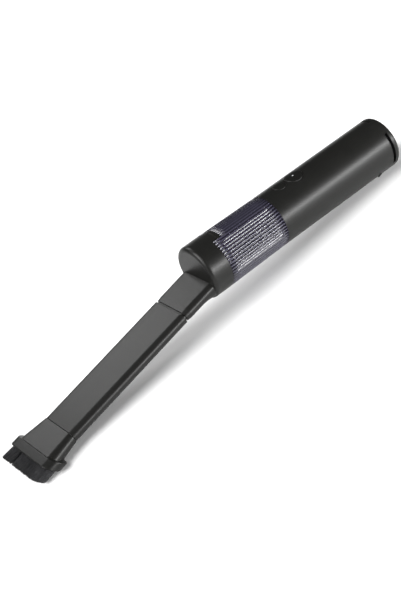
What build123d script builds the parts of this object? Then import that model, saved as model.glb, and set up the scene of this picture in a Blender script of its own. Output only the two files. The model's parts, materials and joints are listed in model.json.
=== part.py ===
from build123d import *
import os
from math import asin, atan2, cos, hypot, pi, radians, sin

os.makedirs("parts", exist_ok=True)

# A slim cordless handheld vacuum, lying on a table, nozzle towards -X.
# "Station" is the distance along the body axis from the flat rear face, "reach" the distance
# along the extension tube from its rear shoulder. All sizes are in millimetres.

# Driving dimensions of the body
body_radius = 28.0
sleeve_bore = 25.8
rear_edge_round = 3.0
rear_cap_rim = 5.8  # station where the rear cap's rim ends and the exhaust slots begin
sleeve_rear = 9.6
cup_rear = 158.2  # station of the body to cup seam
seam_gap = 0.3
slot_bridge_angles = (65, 185, 305)
slot_bridge_span = 45

# Dust cup and nose
cup_length = 74.0
nose_radius = 28.9
cup_wall = 2.0
nose_length = 23.4
nose_edge_round = 4.5
tongue_half_angle = 20
tongue_length = 10.4

# Flat extension tube, bent down from the body axis
tube_bend = 12.9
tube_station = 294.6
tube_drop = 18.7
tube_width = 48.6
tube_height = 12.0
tube_length = 154.3
stub_width = 44.8
stub_height = 8.4
stub_length = 16.0
socket_width = 45.2
socket_height = 8.8
joint_gap = 2.0

# Brush head, cut on a slant that leads at its top
slant = 0.6
flange_width = 69.0
flange_height = 18.4
flange_rear = 179.0
flange_front = 189.6
bristle_length = 16.0
tuft_radius = 1.4
tuft_row = 5.6  # height of the upper and lower rows of tufts off the brush's middle plane

# The body's tilt and place follow from its two supports: the round edge of the rear cap and
# the ends of the lowest tufts.
bend = radians(tube_bend)
edge_centre = (rear_edge_round, -(body_radius - rear_edge_round))
tuft_low = -(tuft_row + tuft_radius)
tuft_reach = flange_front - slant * tuft_row + bristle_length
support_along = tube_station + tuft_reach * cos(bend) + tuft_low * sin(bend) - edge_centre[0]
support_drop = -tube_drop - tuft_reach * sin(bend) + tuft_low * cos(bend) - edge_centre[1]
support_span = hypot(support_along, support_drop)
tilt = -atan2(support_drop, support_along) - asin(rear_edge_round / support_span)
rear_height = rear_edge_round - edge_centre[1] * cos(tilt) - rear_edge_round * sin(tilt)

tip_reach = flange_front + slant * tuft_row + bristle_length
tip_along = tube_station + tip_reach * cos(bend) - tuft_low * sin(bend)
tip_up = -tube_drop - tip_reach * sin(bend) - tuft_low * cos(bend)
front_extent = tip_along * cos(tilt) - tip_up * sin(tilt)
rear_extent = rear_edge_round * (1 - cos(tilt)) - edge_centre[1] * sin(tilt)
rear_x = (front_extent - rear_extent) / 2

forward = Vector(-cos(tilt), 0, sin(tilt))
upward = Vector(sin(tilt), 0, cos(tilt))
rear_point = Vector(rear_x, 0, rear_height)
body_axis = Axis(rear_point, forward)
tube_forward = forward * cos(bend) - upward * sin(bend)
tube_upward = forward * sin(bend) + upward * cos(bend)
tube_point = rear_point + forward * tube_station - upward * tube_drop
body_side = Plane(rear_point, x_dir=forward, z_dir=(0, 1, 0))
tube_side = Plane(tube_point, x_dir=tube_forward, z_dir=(0, 1, 0))


def station(along, up=0.0):
    """Plane across the body, local x to the left of a person facing forward, y up."""
    return Plane(rear_point + forward * along + upward * up, x_dir=(0, -1, 0), z_dir=forward)


def level(along, up):
    """Plane facing up out of the body, local x forward."""
    return Plane(rear_point + forward * along + upward * up, x_dir=forward, z_dir=upward)


def outward(along, angle, height):
    """Plane facing out of the body at an angle from its top, local x forward."""
    away = upward * cos(radians(angle)) + Vector(0, -1, 0) * sin(radians(angle))
    return Plane(rear_point + forward * along + away * height, x_dir=forward, z_dir=away)


def reach(along, up=0.0):
    """Plane across the extension tube, local y up out of its flat top."""
    origin = tube_point + tube_forward * along + tube_upward * up
    return Plane(origin, x_dir=(0, -1, 0), z_dir=tube_forward)


def ring_sector(inner, outer, middle, span):
    """Part of a flat ring, centred on the angle middle."""
    with BuildSketch() as sector:
        with BuildLine():
            outside = CenterArc((0, 0), outer, middle - span / 2, span)
            inside = CenterArc((0, 0), inner, middle - span / 2, span)
            Line(outside @ 0, inside @ 0)
            Line(outside @ 1, inside @ 1)
        make_face()
    return sector.sketch


def oblong(width, height):
    """Flat section with fully rounded sides."""
    with BuildSketch() as section:
        SlotOverall(width, height)
    return section.sketch


def save(builder, name):
    builder.part.label = name
    export_step(builder.part, f"parts/{name}.step")


# Rear cap: flat end with a round edge, a rim, and three legs that carry it in the sleeve
cap_floor = 2.4
cap_rim_bore = 24.8
leg_inner = 22.4
leg_length = 8.4
with BuildPart() as rear_cap:
    with BuildSketch(body_side):
        with BuildLine():
            Line((0, 0), (0, body_radius - rear_edge_round))
            TangentArc(
                (0, body_radius - rear_edge_round), (rear_edge_round, body_radius), tangent=(0, 1)
            )
            Polyline(
                (rear_edge_round, body_radius),
                (rear_cap_rim, body_radius),
                (rear_cap_rim, cap_rim_bore),
                (cap_floor, cap_rim_bore),
                (cap_floor, 0),
                (0, 0),
            )
        make_face()
    revolve(axis=body_axis)
    with BuildSketch(station(cap_floor)):
        for angle in slot_bridge_angles:
            add(ring_sector(leg_inner, sleeve_bore - 0.2, angle, slot_bridge_span - 4))
    extrude(amount=sleeve_rear + leg_length - cap_floor)
    with BuildSketch(station(rear_cap_rim)):
        for angle in slot_bridge_angles:
            add(ring_sector(leg_inner, body_radius, angle, slot_bridge_span))
    extrude(amount=sleeve_rear - rear_cap_rim)
save(rear_cap, "rear_cap")

# Exhaust foam behind the slots
foam_end = 14.0
with BuildPart() as exhaust_foam:
    with BuildSketch(station(cap_floor)):
        Circle(leg_inner - 0.1)
        Circle(12, mode=Mode.SUBTRACT)
    extrude(amount=foam_end - cap_floor)
save(exhaust_foam, "exhaust_foam")

# Body sleeve: one smooth tube with holes for the two buttons and the charging port
sleeve_front = cup_rear - seam_gap
power_station = 116.0
power_radius = 9.9
release_station = 135.0
release_radius = 7.0
button_gap = 0.3
port_station = 21.6
port_angle = 135
port_pocket_length = 14.6
port_pocket_width = 15.2
port_pocket_floor = 26.6
with BuildPart() as body_sleeve:
    with BuildSketch(station(sleeve_rear)):
        Circle(body_radius)
        Circle(sleeve_bore, mode=Mode.SUBTRACT)
    extrude(amount=sleeve_front - sleeve_rear)
    for along, radius in ((power_station, power_radius), (release_station, release_radius)):
        with BuildSketch(level(along, 15)):
            Circle(radius + button_gap)
        extrude(amount=body_radius, mode=Mode.SUBTRACT)
    with BuildSketch(outward(port_station, port_angle, port_pocket_floor)):
        RectangleRounded(port_pocket_length, port_pocket_width, 3)
    extrude(amount=5, mode=Mode.SUBTRACT)
    with BuildSketch(outward(port_station, port_angle, 20)):
        SlotOverall(10.2, 4.2, rotation=90)
    extrude(amount=10, mode=Mode.SUBTRACT)
save(body_sleeve, "body_sleeve")

# Charging port on its small board, behind the sleeve
port_board_height = 17.0
port_board_thickness = 1.2
with BuildPart() as charge_board:
    with BuildSketch(outward(port_station + 4, port_angle, port_board_height)):
        Rectangle(17, 14)
    extrude(amount=port_board_thickness)
save(charge_board, "charge_board")

with BuildPart() as charge_port:
    with BuildSketch(outward(port_station, port_angle, port_board_height + port_board_thickness)):
        SlotOverall(8.9, 3.2, rotation=90)
    extrude(amount=25.0 - port_board_height - port_board_thickness)
    with BuildSketch(outward(port_station, port_angle, 19.0)):
        SlotOverall(8.2, 2.5, rotation=90)
    extrude(amount=8, mode=Mode.SUBTRACT)
    with BuildSketch(outward(port_station, port_angle, 18.6)):
        Rectangle(0.7, 6.2)
    extrude(amount=5)
save(charge_port, "charge_port")

# Rubber cover of the port: flush with the body, with a finger lip at its free end
cover_length = 14.0
cover_width = 14.6
cover_underside = port_pocket_floor + 0.1
with BuildPart() as port_cover:
    with BuildSketch(outward(port_station, port_angle, cover_underside)):
        RectangleRounded(cover_length, cover_width, 2.8)
    extrude(amount=3)
    with BuildSketch(station(port_station - 10)):
        Circle(body_radius)
    extrude(amount=20, mode=Mode.INTERSECT)
    with BuildSketch(outward(port_station + cover_length / 2 - 1.8, port_angle, cover_underside)):
        RectangleRounded(2.4, 8, 1)
    extrude(amount=29.0 - cover_underside)
save(port_cover, "port_cover")

# Battery: three round cells in two holders, tied by strips under round insulators
cell_radius = 9.1
cell_rear = 36.0
cell_length = 65.0
cell_circle = 10.7
cell_angles = (90, 210, 330)
holder_radius = 25.5
holder_thickness = 5.0
holder_rears = (38.0, 94.0)
rail_centre = 23.0
rail_depth = 3.8
rail_height = 7.0
ledge_centre = 12.0
board_underside = 17.6


def cell_spots():
    return [
        (cell_circle * cos(radians(angle)), cell_circle * sin(radians(angle)))
        for angle in cell_angles
    ]


with BuildPart() as battery_cells:
    with BuildSketch(station(cell_rear)):
        with Locations(*cell_spots()):
            Circle(cell_radius)
    extrude(amount=cell_length)
    for solid in battery_cells.solids():
        chamfer(solid.edges().filter_by(GeomType.CIRCLE), length=0.5)
save(battery_cells, "battery_cells")

with BuildPart() as battery_holders:
    for along in holder_rears:
        with BuildSketch(station(along)):
            Circle(holder_radius)
            Circle(5, mode=Mode.SUBTRACT)
            with Locations(*cell_spots()):
                Circle(cell_radius + 0.1, mode=Mode.SUBTRACT)
            with Locations((rail_centre + 1, 0), (-rail_centre - 1, 0)):
                Rectangle(rail_depth + 2.4, rail_height + 0.2, mode=Mode.SUBTRACT)
            with Locations((0, -22)):
                Rectangle(8, 5, mode=Mode.SUBTRACT)
        extrude(amount=holder_thickness)
    with BuildSketch(station(holder_rears[1] + holder_thickness)):
        with Locations((ledge_centre, 15.6), (-ledge_centre, 15.6)):
            Rectangle(3.6, 4)
    extrude(amount=9)
    with BuildSketch(level(106, board_underside)):
        with Locations((0, ledge_centre), (0, -ledge_centre)):
            Circle(0.9)
    extrude(amount=-3.4, mode=Mode.SUBTRACT)
save(battery_holders, "battery_holders")

strip_thickness = 0.25
with BuildPart() as battery_strips:
    for along in (cell_rear - strip_thickness, cell_rear + cell_length):
        with BuildSketch(station(along)):
            with BuildLine():
                Polyline(*cell_spots(), close=True)
            make_face()
            offset(amount=3)
        extrude(amount=strip_thickness)
save(battery_strips, "battery_strips")

with BuildPart() as battery_insulators:
    for along in (cell_rear - 0.9, cell_rear + cell_length + 0.35):
        with BuildSketch(station(along)):
            Circle(16.4)
        extrude(amount=0.5)
save(battery_insulators, "battery_insulators")

# Chassis rails along both sides of the battery and the motor
mount_rear = 134.0
mount_thickness = 3.0
with BuildPart() as chassis_rails:
    with BuildSketch(station(33)):
        with Locations((rail_centre, 0), (-rail_centre, 0)):
            Rectangle(rail_depth, rail_height)
    extrude(amount=mount_rear - 33)
save(chassis_rails, "chassis_rails")

# Motor: can with two arc magnets, end bell, two bushes, and the parts that turn on its shaft
shaft_radius = 1.5
can_radius = 13.7
can_bore = 12.6
can_rear = 108.0
can_front = 133.2
boss_radius = 3.2
with BuildPart() as motor_can:
    with BuildSketch(station(can_rear)):
        Circle(can_radius)
    extrude(amount=can_front - can_rear)
    fillet(motor_can.faces().sort_by(Axis.X)[0].edges(), radius=1)
    with BuildSketch(station(can_rear)):
        Circle(can_bore)
    extrude(amount=can_front - can_rear - 1.2, mode=Mode.SUBTRACT)
    with BuildSketch(station(can_front - 2)):
        Circle(boss_radius)
        with Locations((8, 0), (-8, 0)):
            Circle(1)
    extrude(amount=4, mode=Mode.SUBTRACT)
save(motor_can, "motor_can")

with BuildPart() as motor_magnets:
    with BuildSketch(station(112)):
        for angle in (0, 180):
            add(ring_sector(10.2, can_bore - 0.1, angle, 130))
    extrude(amount=18)
save(motor_magnets, "motor_magnets")

bell_rear = 104.8
with BuildPart() as motor_end_bell:
    with BuildSketch(station(bell_rear)):
        Circle(can_radius)
        Circle(boss_radius, mode=Mode.SUBTRACT)
        with Locations((8, 0), (-8, 0)):
            Rectangle(2.4, 5, mode=Mode.SUBTRACT)
    extrude(amount=can_rear - bell_rear)
save(motor_end_bell, "motor_end_bell")

bush_clearance = 0.05
with BuildPart() as motor_bushes:
    for along, length in ((bell_rear, 3.0), (can_front - 1.2, 4.0)):
        with BuildSketch(station(along)):
            Circle(boss_radius)
            Circle(shaft_radius + bush_clearance, mode=Mode.SUBTRACT)
        extrude(amount=length)
save(motor_bushes, "motor_bushes")

shaft_rear = 103.2
shaft_end = 150.6
with BuildPart() as motor_shaft:
    with BuildSketch(station(shaft_rear)):
        Circle(shaft_radius)
    extrude(amount=shaft_end - shaft_rear)
save(motor_shaft, "motor_shaft")

with BuildPart() as rotor_core:
    with BuildSketch(station(114)):
        Circle(9.6)
        Circle(shaft_radius, mode=Mode.SUBTRACT)
        with PolarLocations(6.6, 5):
            SlotOverall(4.4, 2.6, mode=Mode.SUBTRACT)
        with PolarLocations(9.4, 5):
            Rectangle(1.6, 1.2, mode=Mode.SUBTRACT)
    extrude(amount=14)
save(rotor_core, "rotor_core")

with BuildPart() as rotor_windings:
    for along in (112.4, 128.0):
        with BuildSketch(station(along)):
            Circle(8.6)
            Circle(3.6, mode=Mode.SUBTRACT)
        extrude(amount=1.6)
save(rotor_windings, "rotor_windings")

with BuildPart() as commutator:
    with BuildSketch(station(108.6)):
        Circle(3.4)
        Circle(shaft_radius, mode=Mode.SUBTRACT)
        with PolarLocations(3.3, 5):
            Rectangle(0.8, 0.3, mode=Mode.SUBTRACT)
    extrude(amount=3.6)
save(commutator, "commutator")

# Motor mount: the wall between the fan and the rest of the body, with air vents round its edge
mount_front = mount_rear + mount_thickness
latch_half_width = 5.0
with BuildPart() as motor_mount:
    with BuildSketch(station(mount_rear)):
        Circle(holder_radius)
        Circle(boss_radius + 0.1, mode=Mode.SUBTRACT)
        with Locations((8, 0), (-8, 0)):
            Circle(1, mode=Mode.SUBTRACT)
        for angle in (45, 135, 215, 245, 295, 325):
            add(ring_sector(20.8, 24.4, angle, 22), mode=Mode.SUBTRACT)
        with Locations((0, 23)):
            Rectangle(2 * release_radius + 2, 7, mode=Mode.SUBTRACT)
    extrude(amount=mount_thickness)
    with BuildSketch(station(126)):
        with Locations((0, 16.2)):
            Rectangle(24, 2.8)
    extrude(amount=mount_rear - 126)
save(motor_mount, "motor_mount")

with BuildPart() as motor_gasket:
    with BuildSketch(station(can_front)):
        Circle(12.8)
        Circle(4.4, mode=Mode.SUBTRACT)
        with Locations((8, 0), (-8, 0)):
            Circle(1.2, mode=Mode.SUBTRACT)
    extrude(amount=mount_rear - can_front)
save(motor_gasket, "motor_gasket")

with BuildPart() as motor_screws:
    with BuildSketch(station(mount_front - 5)):
        with Locations((8, 0), (-8, 0)):
            Circle(1)
    extrude(amount=5)
    with BuildSketch(station(mount_front)):
        with Locations((8, 0), (-8, 0)):
            Circle(1.9)
    extrude(amount=1.3)
    with BuildSketch(station(mount_front + 0.6)):
        with Locations((8, 0), (-8, 0)):
            Rectangle(2.4, 0.5)
            Rectangle(0.5, 2.4)
    extrude(amount=1, mode=Mode.SUBTRACT)
save(motor_screws, "motor_screws")

# Fan: impeller on the shaft, inside a shroud that lets the air out at its sides
impeller_radius = 17.4
impeller_rear = 139.6
blade_count = 9
with BuildSketch() as blade:
    with BuildLine():
        front = ThreePointArc((3.6, 0), (10.6, 3.0), (17.2, 0.4))
        back = ThreePointArc((3.6, 0.9), (10.4, 3.9), (17.0, 1.5))
        Line(front @ 0, back @ 0)
        Line(front @ 1, back @ 1)
    make_face()
with BuildPart() as impeller:
    with BuildSketch(station(impeller_rear)):
        Circle(impeller_radius)
    extrude(amount=1.2)
    with BuildSketch(station(impeller_rear)):
        Circle(4)
    extrude(amount=8.4)
    with BuildSketch(station(impeller_rear + 1.2)):
        for number in range(blade_count):
            add(blade.sketch, rotation=number * 360 / blade_count)
    extrude(amount=6.4)
    with BuildSketch(station(impeller_rear)):
        Circle(shaft_radius)
    extrude(amount=10, mode=Mode.SUBTRACT)
save(impeller, "impeller")

with BuildPart() as impeller_nut:
    with BuildSketch(station(impeller_rear + 8.4)):
        RegularPolygon(2.9, 6)
        Circle(shaft_radius, mode=Mode.SUBTRACT)
    extrude(amount=2)
save(impeller_nut, "impeller_nut")

shroud_radius = 19.8
shroud_front = 151.8
with BuildPart() as fan_shroud:
    with BuildSketch(station(mount_front)):
        Circle(shroud_radius)
    extrude(amount=shroud_front - mount_front)
    fillet(fan_shroud.faces().sort_by(Axis.X)[0].edges(), radius=1.2)
    with BuildSketch(station(mount_front)):
        Circle(shroud_radius - 1.2)
    extrude(amount=shroud_front - mount_front - 1.4, mode=Mode.SUBTRACT)
    with BuildSketch(station(shroud_front - 3)):
        Circle(9)
    extrude(amount=5, mode=Mode.SUBTRACT)
    for angle in range(30, 360, 45):
        with BuildSketch(outward(mount_front + 5.4, angle, 15)):
            RectangleRounded(6.4, 7.6, 1)
        extrude(amount=8, mode=Mode.SUBTRACT)
save(fan_shroud, "fan_shroud")

# Front collar: bulkhead at the cup seam, with the spigot that the dust cup slides on
spigot_radius = 25.4
spigot_end = cup_rear + 16
neck_radius = 15.6
neck_end = 182.0
with BuildPart() as front_collar:
    with BuildSketch(body_side):
        with BuildLine():
            Polyline(
                (mount_front, 23.4),
                (mount_front, 25.6),
                (154.4, 25.6),
                (154.4, spigot_radius),
                (spigot_end, spigot_radius),
                (spigot_end, neck_radius),
                (neck_end, neck_radius),
                (neck_end, 13),
                (172.2, 13),
                (172.2, 22.6),
                (154.2, 22.6),
                (154.2, 10),
                (152, 10),
                (152, 23.4),
                close=True,
            )
        make_face()
    revolve(axis=body_axis)
    with BuildSketch(level(150.6, 19.6)):
        Rectangle(31, 2 * latch_half_width + 1.2)
    extrude(amount=10, mode=Mode.SUBTRACT)
    with BuildSketch(level(release_station, 19.6)):
        Circle(release_radius + 0.8)
    extrude(amount=10, mode=Mode.SUBTRACT)
save(front_collar, "front_collar")

# Cup seal: a soft lip round the spigot's end
seal_end = spigot_end + 2
with BuildPart() as cup_seal:
    with BuildSketch(body_side):
        with BuildLine():
            Polyline(
                (spigot_end, neck_radius),
                (seal_end, neck_radius),
                (seal_end, 22),
                (spigot_end + 1.2, 25.9),
                (spigot_end + 0.5, 25.9),
                (spigot_end, 24.6),
                close=True,
            )
        make_face()
    revolve(axis=body_axis)
save(cup_seal, "cup_seal")

# Control board, its components, the power switch and its lamp
board_rear = 103.6
board_front = 129.4
board_top = board_underside + 1.6
with BuildPart() as control_board:
    with BuildSketch(level((board_rear + board_front) / 2, board_underside)):
        RectangleRounded(board_front - board_rear, 30, 1)
    extrude(amount=1.6)
    with BuildSketch(level(106, board_underside)):
        with Locations((0, ledge_centre), (0, -ledge_centre)):
            Circle(1.1)
    extrude(amount=4, mode=Mode.SUBTRACT)
save(control_board, "control_board")

with BuildPart() as board_screws:
    with BuildSketch(level(106, board_underside - 3)):
        with Locations((0, ledge_centre), (0, -ledge_centre)):
            Circle(0.9)
    extrude(amount=4.6)
    with BuildSketch(level(106, board_top)):
        with Locations((0, ledge_centre), (0, -ledge_centre)):
            Circle(1.8)
    extrude(amount=1.1)
save(board_screws, "board_screws")

with BuildPart() as board_components:
    with BuildSketch(level(124.6, board_top)):
        Rectangle(4, 5)
        with Locations((-1, 9)):
            Rectangle(5, 3)
        with Locations((-1, -9)):
            Rectangle(3, 4)
    extrude(amount=1.1)
    with BuildSketch(level(113, board_underside)):
        with Locations((0, 11.6), (8, -11.6)):
            Circle(1.8)
        with Locations((-2, 0)):
            Rectangle(5, 6)
    extrude(amount=-2.2)
save(board_components, "board_components")

switch_station = power_station - 5.5
plunger_radius = 1.6
with BuildPart() as power_switch:
    with BuildSketch(level(switch_station, board_top)):
        RectangleRounded(6, 6, 0.5)
    extrude(amount=1.4)
    with BuildSketch(level(switch_station, board_top + 0.3)):
        Circle(plunger_radius + 0.1)
    extrude(amount=2, mode=Mode.SUBTRACT)
save(power_switch, "power_switch")

with BuildPart() as power_lamp:
    with BuildSketch(level(power_station, board_top)):
        Rectangle(2, 1.4)
    extrude(amount=0.8)
save(power_lamp, "power_lamp")

# Power button: a round cap whose face follows the body, with a light pipe at its middle
button_base = 22.4
button_crown = body_radius + 0.7
press_height = board_top + 2.4
with BuildPart() as power_button:
    with BuildSketch(level(power_station, button_base)):
        Circle(power_radius)
    extrude(amount=8)
    with BuildSketch(station(power_station - 12)):
        Circle(button_crown)
    extrude(amount=24, mode=Mode.INTERSECT)
    fillet(power_button.faces().sort_by(Axis.Z)[-1].edges(), radius=0.6)
    with BuildSketch(level(power_station, button_base - 0.8)):
        Circle(power_radius + 1.2)
    extrude(amount=0.8)
    with BuildSketch(level(power_station, button_base - 1)):
        Circle(power_radius - 1.6)
    extrude(amount=4.6, mode=Mode.SUBTRACT)
    with BuildSketch(level(switch_station, press_height)):
        Circle(2)
    extrude(amount=25.5 - press_height)
    with BuildSketch(level(power_station, 20)):
        Circle(0.8)
    extrude(amount=12, mode=Mode.SUBTRACT)
save(power_button, "power_button")

with BuildPart() as button_light_pipe:
    with BuildSketch(level(power_station, board_top + 2)):
        Circle(0.8)
    extrude(amount=button_crown - board_top - 2)
save(button_light_pipe, "button_light_pipe")

with BuildPart() as switch_plunger:
    with BuildSketch(level(switch_station, board_top + 1)):
        Circle(plunger_radius)
    extrude(amount=press_height - board_top - 1)
save(switch_plunger, "switch_plunger")

# Cup release: a smaller round button on a latch plate whose tooth holds the dust cup
release_crown = body_radius + 0.4
latch_top = 23.6
latch_underside = 22.0
tooth_station = 160.6
tooth_length = 4.0
tooth_top = 26.7
with BuildPart() as release_button:
    with BuildSketch(level(release_station, latch_top)):
        Circle(release_radius)
    extrude(amount=8)
    with BuildSketch(station(release_station - 10)):
        Circle(release_crown)
    extrude(amount=20, mode=Mode.INTERSECT)
    fillet(release_button.faces().sort_by(Axis.Z)[-1].edges(), radius=0.5)
save(release_button, "release_button")

plate_rear = 129.0
plate_front = tooth_station + tooth_length
tooth_ramp = 1.6
with BuildPart() as release_latch:
    with BuildSketch(body_side):
        with BuildLine():
            Polyline(
                (plate_rear, latch_underside),
                (plate_front, latch_underside),
                (plate_front, tooth_top - tooth_ramp),
                (plate_front - tooth_ramp, tooth_top),
                (tooth_station, tooth_top),
                (tooth_station, latch_top),
                (plate_rear, latch_top),
                close=True,
            )
        make_face()
    extrude(amount=latch_half_width, both=True)
save(release_latch, "release_latch")

# Coil spring that lifts the release latch
spring_seat = board_underside
spring_turns = 4
spring_wire = 0.25
spring_radius = 1.5
spring_height = latch_underside - spring_seat - 2 * spring_wire - 0.15
spring_plane = level(131.8, spring_seat + spring_wire)
with BuildPart() as latch_spring:
    with BuildLine(spring_plane) as coil:
        Helix(pitch=spring_height / spring_turns, height=spring_height, radius=spring_radius)
    with BuildSketch(Plane(origin=coil.line @ 0, z_dir=coil.line % 0)):
        Circle(spring_wire)
    sweep(path=coil.line)
save(latch_spring, "latch_spring")

# Leads: two from the battery to the board, two from the board to the motor
lead_radius = 0.6


def lead(points, radii):
    """A wire along straight runs joined by arcs."""
    with BuildPart() as wire:
        with BuildLine() as route:
            FilletPolyline(*points, radius=radii)
        with BuildSketch(Plane(origin=route.line @ 0, z_dir=route.line % 0)):
            Circle(lead_radius)
        sweep(path=route.line)
    return wire.part


def spot(along, side, up):
    return rear_point + forward * along + Vector(0, -side, 0) + upward * up


with BuildPart() as battery_leads:
    for side in (-6.0, 6.0):
        runs = [spot(102.6, side, 8), spot(102.6, side, 13.4), spot(106.4, side, 16.9)]
        add(lead(runs, 2.4))
save(battery_leads, "battery_leads")

with BuildPart() as motor_leads:
    for side in (-4.0, 4.0):
        runs = [spot(104.0, side, 9.2), spot(102.7, side, 12.6), spot(104.6, side, 16.8)]
        add(lead(runs, 2.4))
save(motor_leads, "motor_leads")

# Dust cup: smoked shell with a slight draft, notched for the nose's tongue and for the latch
cup_front = cup_rear + cup_length
with BuildPart() as cup_shell:
    with BuildSketch(body_side):
        with BuildLine():
            Polyline(
                (cup_rear, body_radius),
                (cup_front, nose_radius),
                (cup_front, nose_radius - cup_wall),
                (cup_rear, body_radius - cup_wall),
                close=True,
            )
        make_face()
    revolve(axis=body_axis)
    with BuildSketch(station(cup_front - tongue_length - 0.2)):
        add(ring_sector(20, 32, 90, 2 * tongue_half_angle + 0.8))
    extrude(amount=tongue_length + 1, mode=Mode.SUBTRACT)
    with BuildSketch(level(cup_rear + 4, 20)):
        Rectangle(8.4, 2 * latch_half_width + 1.4)
    extrude(amount=7.2, mode=Mode.SUBTRACT)
save(cup_shell, "cup_shell")

# Nose cover: its tongue lies over the cup, its spigot goes inside it, and the flat spout under
# its face is level with the top of the tube
nose_rear = cup_front + 0.2
nose_face = cup_front + nose_length
nose_wall = 2.2
nose_spigot = 26.5
nose_spigot_length = 6.0
tongue_inner = 27.05
gasket_station = nose_rear - 4.4
gasket_inner = 25.9
spout_mouth = -joint_gap
mouth_taper = 5.5
passage_width = 42.4
passage_height = 6.2
duct_width = 31.0
duct_height = 11.0
duct_drop = 11.1
side_round = 5.9
# Reach, height and lower corner radius of the spout where it grows out of the nose
spout_growth = ((-44, 22, 15), (-37, 17.6, 11.4), (-30, 13.6, 7.4), (-21, 12, side_round))


def spout_section(along, height, low_round, inset=0.0):
    """Section across the spout, measured down from its flat top."""
    half = tube_width / 2 - inset
    top = tube_height / 2 - inset
    bottom = tube_height / 2 - height + inset
    upper = side_round - inset
    lower = low_round - inset
    with BuildSketch(reach(along)) as section:
        with BuildLine():
            Line((upper - half, top), (half - upper, top))
            RadiusArc((half - upper, top), (half, top - upper), upper)
            Line((half, top - upper), (half, bottom + lower))
            RadiusArc((half, bottom + lower), (half - lower, bottom), lower)
            Line((half - lower, bottom), (lower - half, bottom))
            RadiusArc((lower - half, bottom), (-half, bottom + lower), lower)
            Line((-half, bottom + lower), (-half, top - upper))
            RadiusArc((-half, top - upper), (upper - half, top), upper)
        make_face()
    return section.sketch


with BuildPart() as nose_cover:
    with BuildSketch(body_side):
        with BuildLine():
            Polyline(
                (nose_rear, 0),
                (nose_rear, tongue_inner),
                (cup_front - tongue_length, tongue_inner),
                (cup_front - tongue_length, nose_radius),
                (nose_face - nose_edge_round, nose_radius),
            )
            TangentArc(
                (nose_face - nose_edge_round, nose_radius),
                (nose_face, nose_radius - nose_edge_round),
                tangent=(1, 0),
            )
            Line((nose_face, nose_radius - nose_edge_round), (nose_face, 0))
            Line((nose_face, 0), (nose_rear, 0))
        make_face()
    revolve(axis=body_axis)
    with BuildSketch(station(nose_rear - tongue_length - 1)):
        add(ring_sector(tongue_inner - 1, nose_radius + 2, 270, 360 - 2 * tongue_half_angle))
    extrude(amount=tongue_length + 1, mode=Mode.SUBTRACT)
    loft([spout_section(*growth) for growth in spout_growth])
    straight_end = spout_mouth - mouth_taper
    with BuildSketch(reach(spout_growth[-1][0])):
        add(oblong(tube_width, tube_height))
    extrude(amount=straight_end - spout_growth[-1][0])
    loft(
        [
            spout_section(straight_end, tube_height, side_round),
            spout_section(spout_mouth, tube_height, side_round, inset=0.6),
        ]
    )
    with BuildSketch(station(nose_rear)):
        Circle(nose_radius - nose_wall)
    extrude(amount=nose_face - nose_wall - nose_rear, mode=Mode.SUBTRACT)
    with BuildSketch(reach(spout_mouth)):
        add(oblong(socket_width, socket_height))
    extrude(amount=-stub_length, mode=Mode.SUBTRACT)
    with BuildSketch(station(nose_face - nose_wall - 1, -duct_drop)):
        RectangleRounded(duct_width, duct_height, 3)
    with BuildSketch(reach(spout_mouth - stub_length + 0.5)):
        RectangleRounded(passage_width, passage_height, passage_height / 2 - 0.1)
    loft(mode=Mode.SUBTRACT)
    with BuildSketch(station(nose_rear - nose_spigot_length)):
        Circle(nose_spigot)
        Circle(nose_spigot - 2, mode=Mode.SUBTRACT)
    extrude(amount=nose_spigot_length)
    with BuildSketch(station(nose_rear)):
        Circle(nose_radius - 1)
        Circle(nose_spigot - 2, mode=Mode.SUBTRACT)
    extrude(amount=3)
    with BuildSketch(station(gasket_station)):
        Circle(nose_spigot + 0.3)
        Circle(gasket_inner, mode=Mode.SUBTRACT)
    extrude(amount=1.6, mode=Mode.SUBTRACT)
save(nose_cover, "nose_cover")

with BuildPart() as nose_gasket:
    with BuildSketch(station(gasket_station)):
        Circle(nose_spigot + 0.2)
        Circle(gasket_inner, mode=Mode.SUBTRACT)
    extrude(amount=1.6)
save(nose_gasket, "nose_gasket")

# Inlet duct behind the nose's face, with two ears for the flap's pin
duct_rear = 241.2
duct_wall = 1.5
flap_station = 239.3
flap_pin_drop = 3.4
flap_half_width = 16.0
with BuildPart() as inlet_duct:
    with BuildSketch(station(duct_rear, -duct_drop)):
        RectangleRounded(duct_width + 2 * duct_wall, duct_height + 2 * duct_wall, 3 + duct_wall)
        RectangleRounded(duct_width, duct_height, 3, mode=Mode.SUBTRACT)
    extrude(amount=nose_face - nose_wall - duct_rear)
    for side in (-1, 1):
        ear_plane = body_side.offset(side * (flap_half_width + 0.4))
        with BuildSketch(ear_plane):
            with Locations(((flap_station + duct_rear) / 2 + 1, -flap_pin_drop - 2.2)):
                RectangleRounded(duct_rear - flap_station + 7, 8, 1.5)
        extrude(amount=side * 1.4)
        with BuildSketch(ear_plane):
            with Locations((flap_station, -flap_pin_drop)):
                Circle(0.8)
        extrude(amount=side * 1.4, mode=Mode.SUBTRACT)
save(inlet_duct, "inlet_duct")

with BuildPart() as flap_pin:
    with BuildSketch(body_side):
        with Locations((flap_station, -flap_pin_drop)):
            Circle(0.8)
    extrude(amount=flap_half_width + 1.8, both=True)
save(flap_pin, "flap_pin")

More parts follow.
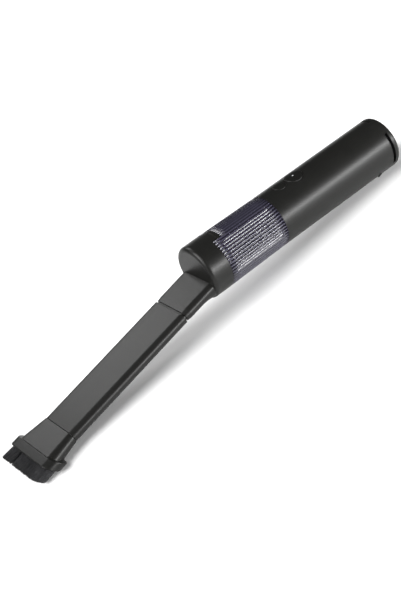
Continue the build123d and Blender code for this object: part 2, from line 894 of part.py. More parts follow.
# Inlet flap: hangs from the pin and closes the duct's inner end
with BuildPart() as inlet_flap:
    with BuildSketch(body_side):
        with Locations((flap_station, -flap_pin_drop)):
            Circle(1.6)
        with Locations((flap_station + 1.0, -flap_pin_drop - 7.6)):
            Rectangle(1.2, 15.2)
    extrude(amount=flap_half_width, both=True)
    with BuildSketch(body_side):
        with Locations((flap_station, -flap_pin_drop)):
            Circle(0.87)
    extrude(amount=20, both=True, mode=Mode.SUBTRACT)
save(inlet_flap, "inlet_flap")

# Filter: base ring on the collar's neck, pleated medium round a cage, end cap
base_rear = seal_end + 0.3
media_rear = 184.2
media_front = 211.2
filter_end = 216.4
cage_radius = 12.6
pleat_count = 36
pleat_inner = 14.4
pleat_outer = 17.6
with BuildPart() as filter_base:
    with BuildSketch(body_side):
        with BuildLine():
            Polyline(
                (base_rear, neck_radius + 0.15),
                (base_rear, 24),
                (media_rear - 1.6, 24),
                (media_rear, 19.2),
                (media_rear, cage_radius - 1),
                (media_rear - 1.4, cage_radius - 1),
                (media_rear - 1.4, neck_radius + 0.15),
                close=True,
            )
        make_face()
    revolve(axis=body_axis)
save(filter_base, "filter_base")

with BuildPart() as filter_seal:
    with BuildSketch(station(base_rear + 2)):
        Circle(25.6)
        Circle(24, mode=Mode.SUBTRACT)
    extrude(amount=1.4)
save(filter_seal, "filter_seal")

pleats = []
for number in range(2 * pleat_count):
    turn = number * pi / pleat_count
    distance = pleat_outer if number % 2 else pleat_inner
    pleats.append((distance * cos(turn), distance * sin(turn)))
with BuildPart() as filter_medium:
    with BuildSketch(station(media_rear)):
        with BuildLine():
            Polyline(*pleats, close=True)
        make_face()
        Circle(cage_radius, mode=Mode.SUBTRACT)
    extrude(amount=media_front - media_rear)
save(filter_medium, "filter_medium")

with BuildPart() as filter_cage:
    with BuildSketch(station(media_rear)):
        Circle(cage_radius)
        Circle(cage_radius - 1.2, mode=Mode.SUBTRACT)
    extrude(amount=media_front - media_rear)
    for along in (media_rear + 7, media_rear + 20):
        for angle in range(0, 360, 60):
            with BuildSketch(outward(along, angle, 9)):
                RectangleRounded(9, 8, 1)
            extrude(amount=6, mode=Mode.SUBTRACT)
save(filter_cage, "filter_cage")

with BuildPart() as filter_cap:
    with BuildSketch(station(media_front)):
        Circle(18.8)
    extrude(amount=filter_end - media_front)
    fillet(filter_cap.faces().sort_by(Axis.X)[0].edges(), radius=1.5)
save(filter_cap, "filter_cap")

# Extension tube: flat duct with rounded sides and a narrower stub at each end
front_stub = 15.0
wall_step = 2.0
with BuildPart() as extension_tube:
    with BuildSketch(reach(0)):
        add(oblong(tube_width, tube_height))
    extrude(amount=tube_length)
    fillet(extension_tube.faces().sort_by(Axis.X)[0].edges(), radius=0.5)
    fillet(extension_tube.faces().sort_by(Axis.X)[-1].edges(), radius=0.5)
    with BuildSketch(reach(-stub_length)):
        add(oblong(stub_width, stub_height))
    extrude(amount=stub_length + 2)
    with BuildSketch(reach(tube_length - 2)):
        add(oblong(stub_width, stub_height))
    extrude(amount=front_stub + 2)
    with BuildSketch(reach(-stub_length)):
        add(oblong(passage_width, passage_height))
    extrude(amount=stub_length + tube_length + front_stub, mode=Mode.SUBTRACT)
    with BuildSketch(reach(wall_step)):
        add(oblong(tube_width - 3, tube_height - 3))
    extrude(amount=tube_length - 2 * wall_step, mode=Mode.SUBTRACT)
save(extension_tube, "extension_tube")

# Brush head: neck that widens to a slanted oblong flange, a plate with the mouth, and tufts
collar_rear = tube_length + 0.3
neck_front = 184.0
plate_back = flange_front - 3.0
plate_face = flange_front - 0.2
mouth_width = 55.0
mouth_height = 6.8
slant_axis = Axis(tube_point, tube_forward - tube_upward * slant)


def slanted_block(width, height, rear, front):
    """Oblong prism along the tube, cut off by two parallel slanted planes."""
    reach_up = 30
    lead_in = slant * reach_up
    with BuildPart() as block:
        with BuildSketch(tube_side):
            with BuildLine():
                Polyline(
                    (rear - lead_in, -reach_up),
                    (front - lead_in, -reach_up),
                    (front + lead_in, reach_up),
                    (rear + lead_in, reach_up),
                    close=True,
                )
            make_face()
        extrude(amount=width, both=True)
        with BuildSketch(reach(rear - 2 * lead_in)):
            add(oblong(width, height))
        extrude(amount=front - rear + 4 * lead_in, mode=Mode.INTERSECT)
    return block.part


with BuildPart() as brush_head:
    add(slanted_block(flange_width, flange_height, flange_rear, flange_front))
    fillet(brush_head.faces().filter_by(slant_axis).edges(), radius=0.9)
    with BuildSketch(reach(collar_rear)):
        add(oblong(tube_width + 0.8, tube_height + 0.8))
    with BuildSketch(reach(neck_front)):
        add(oblong(60, 16.2))
    loft()
    with BuildSketch(reach(collar_rear)):
        add(oblong(socket_width, socket_height))
    extrude(amount=front_stub + 1, mode=Mode.SUBTRACT)
    with BuildSketch(reach(collar_rear + front_stub)):
        add(oblong(passage_width, passage_height))
    with BuildSketch(reach(neck_front + 12)):
        add(oblong(mouth_width + 6, mouth_height + 3))
    loft(mode=Mode.SUBTRACT)
    add(slanted_block(64.6, 14.6, plate_back, plate_back + 30), mode=Mode.SUBTRACT)
save(brush_head, "brush_head")

with BuildPart() as bristle_plate:
    add(slanted_block(64.4, 14.4, plate_back, plate_face))
    with BuildSketch(reach(plate_back - 20)):
        add(oblong(mouth_width, mouth_height))
    extrude(amount=60, mode=Mode.SUBTRACT)
save(bristle_plate, "bristle_plate")

tuft_count = 36
tuft_line = oblong(61.2, 2 * tuft_row).wire()
with BuildPart() as bristle_tufts:
    for number in range(tuft_count):
        place = tuft_line @ (number / tuft_count)
        end = plate_face + slant * place.Y + bristle_length + 0.2
        with BuildSketch(reach(170)):
            with Locations((place.X, place.Y)):
                Circle(tuft_radius)
        extrude(amount=end - 170)
    add(slanted_block(90, 40, 120, plate_face), mode=Mode.SUBTRACT)
save(bristle_tufts, "bristle_tufts")
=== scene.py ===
import json
import bpy
from math import cos, pi, radians, sin
from mathutils import Matrix, Vector


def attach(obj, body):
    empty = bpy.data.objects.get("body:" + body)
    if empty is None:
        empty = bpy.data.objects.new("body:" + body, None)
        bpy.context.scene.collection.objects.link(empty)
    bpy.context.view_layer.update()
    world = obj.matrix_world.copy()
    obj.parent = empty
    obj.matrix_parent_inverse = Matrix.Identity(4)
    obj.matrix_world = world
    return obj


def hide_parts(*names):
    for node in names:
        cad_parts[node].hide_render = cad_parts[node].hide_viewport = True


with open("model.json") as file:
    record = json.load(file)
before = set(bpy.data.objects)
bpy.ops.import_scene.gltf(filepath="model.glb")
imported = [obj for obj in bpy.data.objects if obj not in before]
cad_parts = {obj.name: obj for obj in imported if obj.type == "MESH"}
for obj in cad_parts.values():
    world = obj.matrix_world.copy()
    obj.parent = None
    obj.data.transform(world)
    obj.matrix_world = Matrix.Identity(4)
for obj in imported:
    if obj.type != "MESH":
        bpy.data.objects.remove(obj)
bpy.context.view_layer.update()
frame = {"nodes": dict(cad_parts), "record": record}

scene = bpy.context.scene
scene.view_settings.view_transform = "Standard"

# The body lies tilted, nozzle towards -X. Station runs forward from its flat rear face and
# reach runs forward along the flat extension tube. Sizes in the dictionaries are millimetres,
# but for the lights, the floor and the camera, which are in metres.
vacuumAxes = {"tilt": 5.00465, "rearX": 250.428, "rearZ": 27.643, "tubeBend": 12.9,
              "tubeStation": 294.6, "tubeDrop": 18.7}
mm = 0.001
tilt = radians(vacuumAxes["tilt"])
bend = radians(vacuumAxes["tubeBend"])
forward = Vector((-cos(tilt), 0, sin(tilt)))
upward = Vector((sin(tilt), 0, cos(tilt)))
nearSide = Vector((0, -1, 0))
rearPoint = Vector((vacuumAxes["rearX"], 0, vacuumAxes["rearZ"]))
tubeForward = forward * cos(bend) - upward * sin(bend)
tubeUpward = forward * sin(bend) + upward * cos(bend)
tubePoint = rearPoint + forward * vacuumAxes["tubeStation"] - upward * vacuumAxes["tubeDrop"]


def placeAlong(origin, up, ahead):
    # Turns a mesh drawn in millimetres (x side, y up, z ahead) into the row frame in metres
    turn = Matrix((nearSide, up, ahead)).transposed().to_4x4()
    return Matrix.Scale(mm, 4) @ Matrix.Translation(origin) @ turn


def bodyPlace(station):
    return placeAlong(rearPoint + forward * station, upward, forward)


def showPiece(name, mesh):
    piece = bpy.data.objects.new(name, mesh)
    scene.collection.objects.link(piece)
    return piece


def srgb(hexColour):
    parts = [int(hexColour[i:i + 2], 16) / 255 for i in (1, 3, 5)]
    return [p / 12.92 if p <= 0.04045 else ((p + 0.055) / 1.055) ** 2.4 for p in parts] + [1.0]


def addNode(tree, kind, settings=None, inputs=None):
    # Settings are the node's own properties; an input takes a value or another node's output
    node = tree.nodes.new(kind)
    for name, value in (settings or {}).items():
        setattr(node, name, value)
    for name, value in (inputs or {}).items():
        if isinstance(value, bpy.types.NodeSocket):
            tree.links.new(value, node.inputs[name])
        else:
            node.inputs[name].default_value = value
    return node


# What each finish is made of, and the grain it gives the eye. Grain and mottle are the sizes of the
# fine texture and of the slow colour change. The second colour is the mottle's own, but on the dust
# cup it is a painted highlight along each flute and on the bristles a painted grey sheen.
finishes = {
    # ABS, spark-eroded mould: satin black, soft wide highlights
    "satin_black_abs": {"name": "blackAbsSatinMoulded", "colour": "#121211", "mottledAndSheen": "#171716",
                        "rough": (0.3, 0.4), "ior": 1.54, "grain": 0.9, "mottle": 30, "bump": 0.05,
                        "gloss": 0.17},
    "button_black": {"name": "blackAbsPolishedButton", "colour": "#10100f", "mottledAndSheen": "#151514",
                     "rough": (0.26, 0.36), "ior": 1.54, "grain": 0.8, "mottle": 12, "bump": 0.04,
                     "gloss": 0.2},
    # Smoked styrene, polished mould: dark and see-through. Its lighter colour is a painted highlight
    # along each flute's crest, standing in for the sharp glints there.
    "smoked_clear": {"name": "smokedStyrenePolished", "colour": "#08080c", "mottledAndSheen": "#4a4858",
                     "rough": (0.1, 0.17), "ior": 1.57, "grain": 1.2, "mottle": 20, "bump": 0.02,
                     "transmission": 0.4, "gloss": 0.4, "paintedCrestHighlight": True},
    # Acrylic light guide, polished: bright and clear
    "clear_pipe": {"name": "acrylicPolished", "colour": "#f4f6f8", "mottledAndSheen": "#e8ecef",
                   "rough": (0.08, 0.16), "ior": 1.49, "grain": 0.6, "mottle": 4, "bump": 0.02,
                   "transmission": 0.3},
    # Nitrile rubber, moulded: dull black
    "black_rubber": {"name": "blackRubberMoulded", "colour": "#1c1c1c", "mottledAndSheen": "#262626",
                     "rough": (0.55, 0.7), "ior": 1.52, "grain": 1.0, "mottle": 9, "bump": 0.12},
    # Polyurethane foam, open cell: dark pits
    "grey_foam": {"name": "greyFoamOpenCell", "colour": "#2d2d30", "mottledAndSheen": "#454549",
                  "rough": (0.85, 0.97), "ior": 1.5, "grain": 1.1, "mottle": 2.5, "bump": 0.7,
                  "pattern": "cells"},
    # Polyester fleece, pressed: soft pale fibre
    "filter_fleece": {"name": "filterFleecePressed", "colour": "#5a5678", "mottledAndSheen": "#6e6a8c",
                      "rough": (0.8, 0.95), "ior": 1.5, "grain": 0.7, "mottle": 6, "bump": 0.4},
    "inner_plastic": {"name": "darkPolypropyleneMoulded", "colour": "#1e1e24", "mottledAndSheen": "#26262d",
                      "rough": (0.4, 0.52), "ior": 1.49, "grain": 0.9, "mottle": 15, "bump": 0.06},
    "impeller_grey": {"name": "greyNylonMoulded", "colour": "#a9a9a6", "mottledAndSheen": "#bdbdb9",
                      "rough": (0.42, 0.55), "ior": 1.53, "grain": 0.9, "mottle": 8, "bump": 0.08},
    # Metals keep their fine tool or rolling marks
    "steel": {"name": "steelTurned", "colour": "#c2c2c4", "mottledAndSheen": "#aeaeb2", "metallic": 1.0,
              "rough": (0.22, 0.36), "grain": 0.5, "mottle": 7, "bump": 0.06, "pattern": "brushed"},
    "zinc_can": {"name": "steelZincPlated", "colour": "#b9bcc0", "mottledAndSheen": "#a4a7ab", "metallic": 1.0,
                 "rough": (0.3, 0.46), "grain": 1.4, "mottle": 9, "bump": 0.08, "pattern": "cells"},
    "nickel_strip": {"name": "nickelStripRolled", "colour": "#cfcdc4", "mottledAndSheen": "#bcb9ae",
                     "metallic": 1.0, "rough": (0.25, 0.4), "grain": 0.5, "mottle": 5, "bump": 0.05,
                     "pattern": "brushed"},
    "spring_steel": {"name": "springWireDrawn", "colour": "#b2b2b6", "mottledAndSheen": "#98989c",
                     "metallic": 1.0, "rough": (0.2, 0.34), "grain": 0.4, "mottle": 3, "bump": 0.04,
                     "pattern": "brushed"},
    "sintered_bronze": {"name": "bronzeSintered", "colour": "#b98d4e", "mottledAndSheen": "#8f6a3a",
                        "metallic": 1.0, "rough": (0.45, 0.62), "grain": 0.6, "mottle": 2.5,
                        "bump": 0.25, "pattern": "cells"},
    "copper": {"name": "copperEnamelledWound", "colour": "#c26a3a", "mottledAndSheen": "#8d4422",
               "metallic": 1.0, "rough": (0.25, 0.4), "grain": 0.8, "mottle": 4, "bump": 0.5,
               "pattern": "wound"},
    "ferrite": {"name": "ferriteSintered", "colour": "#3c3c3d", "mottledAndSheen": "#4a4a4c",
                "rough": (0.6, 0.75), "ior": 1.6, "grain": 0.7, "mottle": 5, "bump": 0.15},
    "cell_wrap": {"name": "heatShrinkSleeve", "colour": "#33588f", "mottledAndSheen": "#3c65a0",
                  "rough": (0.22, 0.34), "ior": 1.54, "grain": 2.2, "mottle": 14, "bump": 0.08},
    "fish_paper": {"name": "insulatingPaperPressed", "colour": "#8f9a84", "mottledAndSheen": "#a3ad97",
                   "rough": (0.75, 0.9), "ior": 1.5, "grain": 0.6, "mottle": 5, "bump": 0.25},
    "board_green": {"name": "solderMaskGreen", "colour": "#12633a", "mottledAndSheen": "#1a7747",
                    "rough": (0.24, 0.38), "ior": 1.55, "grain": 1.3, "mottle": 6, "bump": 0.1,
                    "pattern": "cells"},
    "part_black": {"name": "epoxyMouldedPackage", "colour": "#262626", "mottledAndSheen": "#303030",
                   "rough": (0.5, 0.65), "ior": 1.55, "grain": 0.6, "mottle": 4, "bump": 0.1},
    "lamp": {"name": "lampPackageSilicone", "colour": "#f1efdf", "mottledAndSheen": "#e6e2c8",
             "rough": (0.3, 0.45), "ior": 1.41, "grain": 0.5, "mottle": 2, "bump": 0.05},
    "lead_red": {"name": "redSiliconeLead", "colour": "#a31f19", "mottledAndSheen": "#b92a22",
                 "rough": (0.4, 0.55), "ior": 1.43, "grain": 0.7, "mottle": 5, "bump": 0.06},
    # Nylon filament, cut: black. Its lighter colour is a painted grey sheen, in random patches along
    # the hairs.
    "bristle": {"name": "blackNylonBristle", "colour": "#171718", "mottledAndSheen": "#3a3a3c",
                "rough": (0.3, 0.45), "ior": 1.53, "grain": 0.8, "mottle": 2.2, "bump": 0.05,
                "gloss": 0.25},
}

# How each fine texture is drawn: node, scale for a 1 mm grain, its other inputs and its output
textures = {
    "grain": ("ShaderNodeTexNoise", 1000, {"Detail": 3.0}, "Fac"),
    "brushed": ("ShaderNodeTexNoise", 1000, {"Detail": 3.0}, "Fac"),
    "cells": ("ShaderNodeTexVoronoi", 1000, {}, "Distance"),
    "wound": ("ShaderNodeTexWave", 320, {"Distortion": 0.4}, "Fac"),
}
brushStretch = (0.1, 1, 1)  # tool marks run along X, ten times longer than they are wide
reliefDepth = 0.2 * mm
textureLow, textureHigh = 0.3, 0.7  # the part of a texture's range that moves the roughness
# The Mix node's sockets for a colour
mixShare, mixFirst, mixSecond, mixResult = 0, 6, 7, 2


def makeFinish(look):
    material = bpy.data.materials.new(look["name"])
    material.use_nodes = True
    tree = material.node_tree
    tree.nodes.clear()
    place = addNode(tree, "ShaderNodeTexCoord").outputs["Object"]
    # On the fluted cup the lighter colour is a painted highlight along each crest, elsewhere it drifts
    # slowly
    if "paintedCrestHighlight" in look:
        lighter = addNode(tree, "ShaderNodeAttribute", {"attribute_name": "paintedCrestHighlight"})
    else:
        lighter = addNode(tree, "ShaderNodeTexNoise", None, {
            "Vector": place, "Scale": 1000 / look["mottle"], "Detail": 2.0})
    tint = addNode(tree, "ShaderNodeMix", {"data_type": "RGBA"}, {
        mixShare: lighter.outputs["Fac"], mixFirst: srgb(look["colour"]),
        mixSecond: srgb(look["mottledAndSheen"])})
    pattern = look.get("pattern", "grain")
    if pattern == "brushed":
        stretched = addNode(tree, "ShaderNodeMapping", None, {"Vector": place, "Scale": brushStretch})
        place = stretched.outputs["Vector"]
    kind, scale, others, output = textures[pattern]
    fine = addNode(tree, kind, None, {"Vector": place, "Scale": scale / look["grain"], **others})
    height = fine.outputs[output]
    low, high = look["rough"]
    rough = addNode(tree, "ShaderNodeMapRange", None, {
        "Value": height, "From Min": textureLow, "From Max": textureHigh, "To Min": low,
        "To Max": high})
    relief = addNode(tree, "ShaderNodeBump", None, {
        "Height": height, "Strength": look["bump"], "Distance": reliefDepth})
    shader = addNode(tree, "ShaderNodeBsdfPrincipled", None, {
        "Base Color": tint.outputs[mixResult], "Roughness": rough.outputs["Result"],
        "Normal": relief.outputs["Normal"]})
    constants = {"metallic": "Metallic", "transmission": "Transmission Weight", "ior": "IOR",
                 "gloss": "Specular IOR Level"}
    for key, socket in constants.items():
        if key in look:
            shader.inputs[socket].default_value = look[key]
    addNode(tree, "ShaderNodeOutputMaterial", None, {"Surface": shader.outputs["BSDF"]})
    return material


made = {slot: makeFinish(look) for slot, look in finishes.items()}
for part in frame["record"]["subparts"]:
    node = frame["nodes"][part["node"]]
    node.data.materials.clear()
    node.data.materials.append(made[part["material_slot"]])
print("finishes on", len(frame["nodes"]), "nodes")


def startTree(name, inputs):
    # Returns the tree and its inputs as fields by name, with each point's X, Y and Z
    tree = bpy.data.node_groups.new(name, "GeometryNodeTree")
    tree.interface.new_socket("Geometry", in_out="INPUT", socket_type="NodeSocketGeometry")
    for label, kind in inputs.items():
        tree.interface.new_socket(label, in_out="INPUT", socket_type="NodeSocket" + kind)
    tree.interface.new_socket("Geometry", in_out="OUTPUT", socket_type="NodeSocketGeometry")
    fields = {s.name: s for s in addNode(tree, "NodeGroupInput").outputs}
    position = addNode(tree, "GeometryNodeInputPosition").outputs["Position"]
    where = addNode(tree, "ShaderNodeSeparateXYZ", None, {"Vector": position})
    fields.update({s.name: s for s in where.outputs})
    return tree, fields


def workOut(tree, fields, steps):
    # Each step gives the name of its result, what is done, and the numbers or fields it is done to
    for name, operation, *terms in steps:
        values = {i: fields[t] if isinstance(t, str) else t for i, t in enumerate(terms)}
        fields[name] = addNode(tree, "ShaderNodeMath", {"operation": operation}, values).outputs[0]


def finishTree(tree, geometry, material):
    real = addNode(tree, "GeometryNodeRealizeInstances", None, {"Geometry": geometry})
    painted = addNode(tree, "GeometryNodeSetMaterial", None, {
        "Geometry": real.outputs["Geometry"], "Material": material})
    addNode(tree, "NodeGroupOutput", None, {"Geometry": painted.outputs["Geometry"]})


def growMesh(name, base, tree, values, place):
    # Runs a node tree on a base mesh and keeps the result as a plain mesh at its place
    grower = showPiece(name + "Grower", base)
    modifier = grower.modifiers.new("grow", "NODES")
    modifier.node_group = tree
    for item in tree.interface.items_tree:
        if item.in_out == "INPUT" and item.name in values:
            modifier[item.identifier] = values[item.name]
    grown = grower.evaluated_get(bpy.context.evaluated_depsgraph_get())
    mesh = bpy.data.meshes.new_from_object(grown)
    grower.modifiers.remove(modifier)
    bpy.data.objects.remove(grower)
    mesh.transform(place)
    mesh.name = name
    return showPiece(name, mesh)


# Dust cup: a tapered clear tube with flutes along it, notched on top for the nose's tongue. The
# real flutes stand about 2 mm apart; these are 3.3 mm apart, so that they show.
flutedCup = {"Rear Radius": 28.0, "Front Radius": 28.88, "Length": 74.0, "Flutes": 54,
             "Flute Depth": 0.75, "Flute Sides": 12, "Rings": 7, "Notch Angle": 20.3,
             "Notch Length": 10.5, "station": 158.2, "wall": 1.5}


def fluteTree():
    tree, fields = startTree("flutedCup", {
        "Rear Radius": "Float", "Front Radius": "Float", "Length": "Float", "Flutes": "Int",
        "Flute Depth": "Float", "Flute Sides": "Int", "Rings": "Int", "Notch Angle": "Float",
        "Notch Length": "Float", "Material": "Material"})
    workOut(tree, fields, [
        ("around", "MULTIPLY", "Flutes", "Flute Sides"),
        ("middle", "DIVIDE", "Length", 2.0),
        ("angle", "ARCTAN2", "Y", "X"),
        # Each flute is one half wave round the cup: 1 on its crest and 0 in the valley
        ("waves", "DIVIDE", "Flutes", 2.0),
        ("phase", "MULTIPLY", "angle", "waves"),
        ("swing", "COSINE", "phase"),
        ("wave", "ABSOLUTE", "swing"),
        # Share of the painted highlight: full on each crest, none in the valley
        ("paintedCrestHighlight", "POWER", "wave", 2.0),
        ("valley", "SUBTRACT", 1.0, "wave"),
        ("cut", "MULTIPLY", "Flute Depth", "valley"),
        # The cup widens forward
        ("ahead", "ABSOLUTE", "Z"),
        ("share", "DIVIDE", "ahead", "Length"),
        ("taper", "SUBTRACT", "Front Radius", "Rear Radius"),
        ("grow", "MULTIPLY", "share", "taper"),
        ("outer", "ADD", "Rear Radius", "grow"),
        ("radius", "SUBTRACT", "outer", "cut"),
        ("cosine", "COSINE", "angle"),
        ("sine", "SINE", "angle"),
        ("newX", "MULTIPLY", "cosine", "radius"),
        ("newY", "MULTIPLY", "sine", "radius"),
        # The notch on top, at the front
        ("topAngle", "ARCTAN2", "X", "Y"),
        ("fromTop", "ABSOLUTE", "topAngle"),
        ("notchHalf", "RADIANS", "Notch Angle"),
        ("onTop", "LESS_THAN", "fromTop", "notchHalf"),
        ("notchStart", "SUBTRACT", "Length", "Notch Length"),
        ("atFront", "GREATER_THAN", "Z", "notchStart"),
        ("inNotch", "MULTIPLY", "onTop", "atFront"),
    ])
    drum = addNode(tree, "GeometryNodeMeshCylinder", {"fill_type": "NONE"}, {
        "Vertices": fields["around"], "Side Segments": fields["Rings"], "Radius": 1.0,
        "Depth": fields["Length"]})
    # The drum grows both ways from its middle, so it is first stood on its rear rim
    lift = addNode(tree, "ShaderNodeCombineXYZ", None, {"Z": fields["middle"]})
    stood = addNode(tree, "GeometryNodeTransform", None, {
        "Geometry": drum.outputs["Mesh"], "Translation": lift.outputs["Vector"]})
    moved = addNode(tree, "ShaderNodeCombineXYZ", None, {
        "X": fields["newX"], "Y": fields["newY"], "Z": fields["ahead"]})
    fluted = addNode(tree, "GeometryNodeSetPosition", None, {
        "Geometry": stood.outputs["Geometry"], "Position": moved.outputs["Vector"]})
    # Keeps the painted highlight's share, which the cup's colour reads
    marked = addNode(tree, "GeometryNodeStoreNamedAttribute", {"data_type": "FLOAT"}, {
        "Geometry": fluted.outputs["Geometry"], "Name": "paintedCrestHighlight", "Value": fields["paintedCrestHighlight"]})
    notched = addNode(tree, "GeometryNodeDeleteGeometry", {"domain": "FACE"}, {
        "Geometry": marked.outputs["Geometry"], "Selection": fields["inNotch"]})
    smooth = addNode(tree, "GeometryNodeSetShadeSmooth", None, {
        "Geometry": notched.outputs["Geometry"]})
    finishTree(tree, smooth.outputs["Geometry"], fields["Material"])
    return tree


cupValues = dict(flutedCup, Material=made["smoked_clear"])
dustCup = growMesh("flutedDustCup", bpy.data.meshes.new("cupBase"), fluteTree(), cupValues,
                   bodyPlace(flutedCup["station"]))
walled = dustCup.modifiers.new("wall", "SOLIDIFY")
walled.thickness = flutedCup["wall"] * mm
walled.offset = -1  # the wall grows inwards
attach(dustCup, "dust_cup")
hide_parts("cup_shell")
print("dust cup", len(dustCup.data.polygons), "faces")

# A thin raised rib across the nose's tongue, for the thumb
thumbRib = {"station": 225.7, "radius": 28.75, "height": 0.35, "width": 0.9, "shoulderOut": 0.6,
            "shoulderUp": 0.8, "halfAngle": 17, "steps": 24}


def ribMesh(look):
    edge, height = look["width"] / 2, look["height"]
    shoulder = edge * look["shoulderOut"]
    shoulderHeight = height * look["shoulderUp"]
    section = [(-edge, 0), (-shoulder, shoulderHeight), (0, height), (shoulder, shoulderHeight),
               (edge, 0)]
    count, steps = len(section), look["steps"]
    corners = []
    for step in range(steps + 1):
        angle = radians(look["halfAngle"]) * (2 * step / steps - 1)
        for ahead, up in section:
            out = look["radius"] + up
            corners.append((sin(angle) * out, cos(angle) * out, ahead))
    faces = []
    for start in range(0, count * steps, count):
        for i in range(count):
            a, b = start + i, start + (i + 1) % count
            faces.append((a, b, b + count, a + count))
    firstEnd = (0,) + tuple(range(count - 1, 0, -1))
    lastEnd = tuple(count * steps + i for i in range(count))
    mesh = bpy.data.meshes.new("thumbRib")
    mesh.from_pydata(corners, [], faces + [firstEnd, lastEnd])
    mesh.transform(bodyPlace(look["station"]))
    mesh.materials.append(made["satin_black_abs"])
    return mesh


rib = showPiece("thumbRib", ribMesh(thumbRib))
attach(rib, "dust_cup")
print("thumb rib", len(rib.data.polygons), "faces")

# Bristles: cut nylon hairs standing in an oblong ring on the slanted plate, fanned a little
bristleRing = {"width": 62.0, "row": 5.2, "band": 3.4, "root": 188.2, "slant": 0.6, "gapAt": -11.0,
               "gap": 2.2, "rowSteps": 40, "endSteps": 12, "Density": 7.0, "Length": 17.2,
               "Thickness": 0.17, "Hair Points": 4, "Hair Sides": 5, "Fan": 0.05, "Fan Reach": 30.0,
               "Lean": 0.045, "Tip Lean": 0.6, "Shortest": 0.93, "floorGap": 0.2}
hairSeeds = {"scatter": 11, "sideLean": 3, "tipLean": 5, "trim": 8}
# The Random Value node's sockets for a plain number
randomLow, randomHigh, randomResult = 2, 3, 1


def ringBand(look):
    # The flat band the hairs stand in, following the plate's slant
    row, rowSteps, endSteps = look["row"], look["rowSteps"], look["endSteps"]
    half = look["width"] / 2 - row - look["band"] / 2
    turns = [pi * i / endSteps for i in range(1, endSteps)]
    alongRow = [2 * half * i / rowSteps for i in range(rowSteps + 1)]
    line = [(-half + x, row) for x in alongRow]
    line += [(half + row * sin(t), row * cos(t)) for t in turns]
    line += [(half - x, -row) for x in alongRow]
    line += [(-half - row * sin(t), -row * cos(t)) for t in turns]
    corners, faces = [], []
    for x, y in line:
        core = Vector((max(-half, min(half, x)), 0))
        away = (Vector((x, y)) - core).normalized()
        for shift in (-look["band"] / 2, look["band"] / 2):
            spot = Vector((x, y)) + away * shift
            corners.append((spot.x, spot.y, look["root"] + look["slant"] * spot.y))
    for i, (x, y) in enumerate(line):
        j = (i + 1) % len(line)
        inGap = y > 0 and abs(x - look["gapAt"]) < look["gap"] / 2
        if not inGap:
            faces.append((2 * i, 2 * j, 2 * j + 1, 2 * i + 1))
    band = bpy.data.meshes.new("bristleBand")
    band.from_pydata(corners, [], faces)
    return band


def bristleTree():
    tree, fields = startTree("bristles", {
        "Density": "Float", "Length": "Float", "Thickness": "Float", "Hair Points": "Int",
        "Hair Sides": "Int", "Fan": "Float", "Fan Reach": "Float", "Lean": "Float",
        "Tip Lean": "Float", "Shortest": "Float", "Material": "Material"})
    workOut(tree, fields, [
        ("alongRow", "DIVIDE", "X", "Fan Reach"),
        ("fan", "MULTIPLY", "alongRow", "Fan"),
        ("leanBack", "MULTIPLY", "Lean", -1.0),
        ("tipMost", "MULTIPLY", "Lean", "Tip Lean"),
        ("tipLeast", "MULTIPLY", "tipMost", -1.0),
    ])
    roots = addNode(tree, "GeometryNodeDistributePointsOnFaces", None, {
        "Mesh": fields["Geometry"], "Density": fields["Density"],
        "Seed": hairSeeds["scatter"]})
    tip = addNode(tree, "ShaderNodeCombineXYZ", None, {"Z": fields["Length"]})
    line = addNode(tree, "GeometryNodeCurvePrimitiveLine", None, {"End": tip.outputs["Vector"]})
    cutLine = addNode(tree, "GeometryNodeResampleCurve", None, {
        "Curve": line.outputs["Curve"], "Count": fields["Hair Points"]})
    ring = addNode(tree, "GeometryNodeCurvePrimitiveCircle", None, {
        "Resolution": fields["Hair Sides"], "Radius": fields["Thickness"]})
    hair = addNode(tree, "GeometryNodeCurveToMesh", None, {
        "Curve": cutLine.outputs["Curve"], "Profile Curve": ring.outputs["Curve"],
        "Fill Caps": True})
    swing = addNode(tree, "FunctionNodeRandomValue", {"data_type": "FLOAT"}, {
        randomLow: fields["leanBack"], randomHigh: fields["Lean"],
        "Seed": hairSeeds["sideLean"]})
    tipOver = addNode(tree, "FunctionNodeRandomValue", {"data_type": "FLOAT"}, {
        randomLow: fields["tipLeast"], randomHigh: fields["tipMost"],
        "Seed": hairSeeds["tipLean"]})
    trim = addNode(tree, "FunctionNodeRandomValue", {"data_type": "FLOAT"}, {
        randomLow: fields["Shortest"], randomHigh: 1.0, "Seed": hairSeeds["trim"]})
    fields["swing"] = swing.outputs[randomResult]
    workOut(tree, fields, [("sideLean", "ADD", "fan", "swing")])
    turn = addNode(tree, "ShaderNodeCombineXYZ", None, {
        "X": tipOver.outputs[randomResult], "Y": fields["sideLean"]})
    size = addNode(tree, "ShaderNodeCombineXYZ", None, {
        "X": 1.0, "Y": 1.0, "Z": trim.outputs[randomResult]})
    stood = addNode(tree, "GeometryNodeInstanceOnPoints", None, {
        "Points": roots.outputs["Points"], "Instance": hair.outputs["Mesh"],
        "Rotation": turn.outputs["Vector"], "Scale": size.outputs["Vector"]})
    finishTree(tree, stood.outputs["Instances"], fields["Material"])
    return tree


hairValues = dict(bristleRing, Material=made["bristle"])
bristles = growMesh("nylonBristles", ringBand(bristleRing), bristleTree(), hairValues,
                    placeAlong(tubePoint, tubeUpward, tubeForward))
for corner in bristles.data.vertices:
    corner.co.z = max(corner.co.z, bristleRing["floorGap"] * mm)
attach(bristles, "brush_head")
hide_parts("bristle_tufts")
print("bristles", len(bristles.data.polygons), "faces")

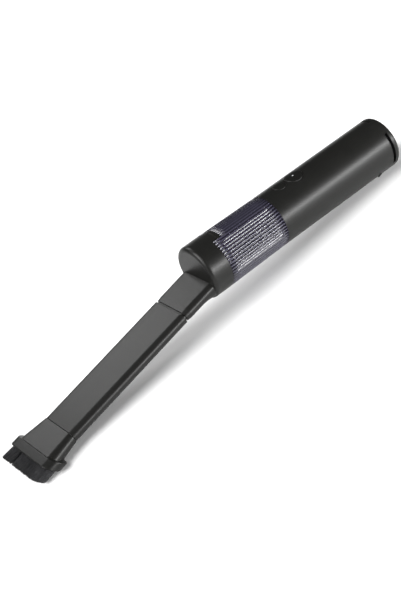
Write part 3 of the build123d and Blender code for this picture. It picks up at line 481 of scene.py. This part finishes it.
# Pale floor: white laminate, nearly matt
floorLook = {"name": "whiteLaminateMatt", "colour": "#f4f4f4", "mottledAndSheen": "#f0f0f0",
             "rough": (0.7, 0.8), "ior": 1.45, "grain": 3.0, "mottle": 200, "bump": 0.01}
floorHalf = 6
floorMesh = bpy.data.meshes.new("floor")
floorCorners = [(x * floorHalf, y * floorHalf, 0) for x, y in ((-1, -1), (1, -1), (1, 1), (-1, 1))]
floorMesh.from_pydata(floorCorners, [], [(0, 1, 2, 3)])
floorMesh.materials.append(makeFinish(floorLook))
showPiece("floor", floorMesh)
print("floor laid")

# Lights: azimuth 0 stands at -Y and 90 at +X
softboxes = {
    "sideSoftbox": {"azimuth": 26, "elevation": 10, "distance": 1.1, "size": (1.3, 0.16), "power": 26},
    "farSoftbox": {"azimuth": 178, "elevation": 40, "distance": 1.3, "size": (0.5, 0.4), "power": 5},
}
sky = {"azimuth": -95, "elevation": 45, "power": 5.6, "spread": 50, "fill": 0.05}


def direction(look):
    around, above = radians(look["azimuth"]), radians(look["elevation"])
    return Vector((sin(around) * cos(above), -cos(around) * cos(above), sin(above)))


def hangLight(name, lamp, look):
    holder = showPiece(name, lamp)
    away = direction(look)
    holder.location = away * look.get("distance", 0)
    holder.rotation_euler = away.to_track_quat("Z", "Y").to_euler()


for name, look in softboxes.items():
    lamp = bpy.data.lights.new(name, "AREA")
    lamp.shape = "RECTANGLE"
    lamp.size, lamp.size_y = look["size"]
    lamp.energy = look["power"]
    hangLight(name, lamp, look)

sun = bpy.data.lights.new("softSky", "SUN")
sun.energy = sky["power"]
sun.angle = radians(sky["spread"])
hangLight("softSky", sun, sky)

world = bpy.data.worlds.new("paleRoom")
world.use_nodes = True
background = world.node_tree.nodes["Background"]
background.inputs["Color"].default_value = srgb("#ffffff")
background.inputs["Strength"].default_value = sky["fill"]
scene.world = world
print("lights", len(softboxes) + 1)

# Camera: its place round the object, its roll, and the point it looks at
view = {"azimuth": -24.033, "elevation": 35.498, "roll": -26.057, "distance": 1.36,
        "aim": (-0.00236, 0.02158, 0.00538), "lens": 81.88, "sensor": 36, "farthest": 30}
camera = showPiece("camera", bpy.data.cameras.new("camera"))
camera.data.lens = view["lens"]
camera.data.sensor_width = view["sensor"]
camera.data.clip_end = view["farthest"]
back = direction(view)
side = Vector((cos(radians(view["azimuth"])), sin(radians(view["azimuth"])), 0))
stand = Matrix((side, back.cross(side), back)).transposed().to_4x4()
camera.matrix_world = (Matrix.Translation(Vector(view["aim"]) + back * view["distance"])
                       @ stand @ Matrix.Rotation(radians(view["roll"]), 4, "Z"))
scene.camera = camera
print("camera ready")
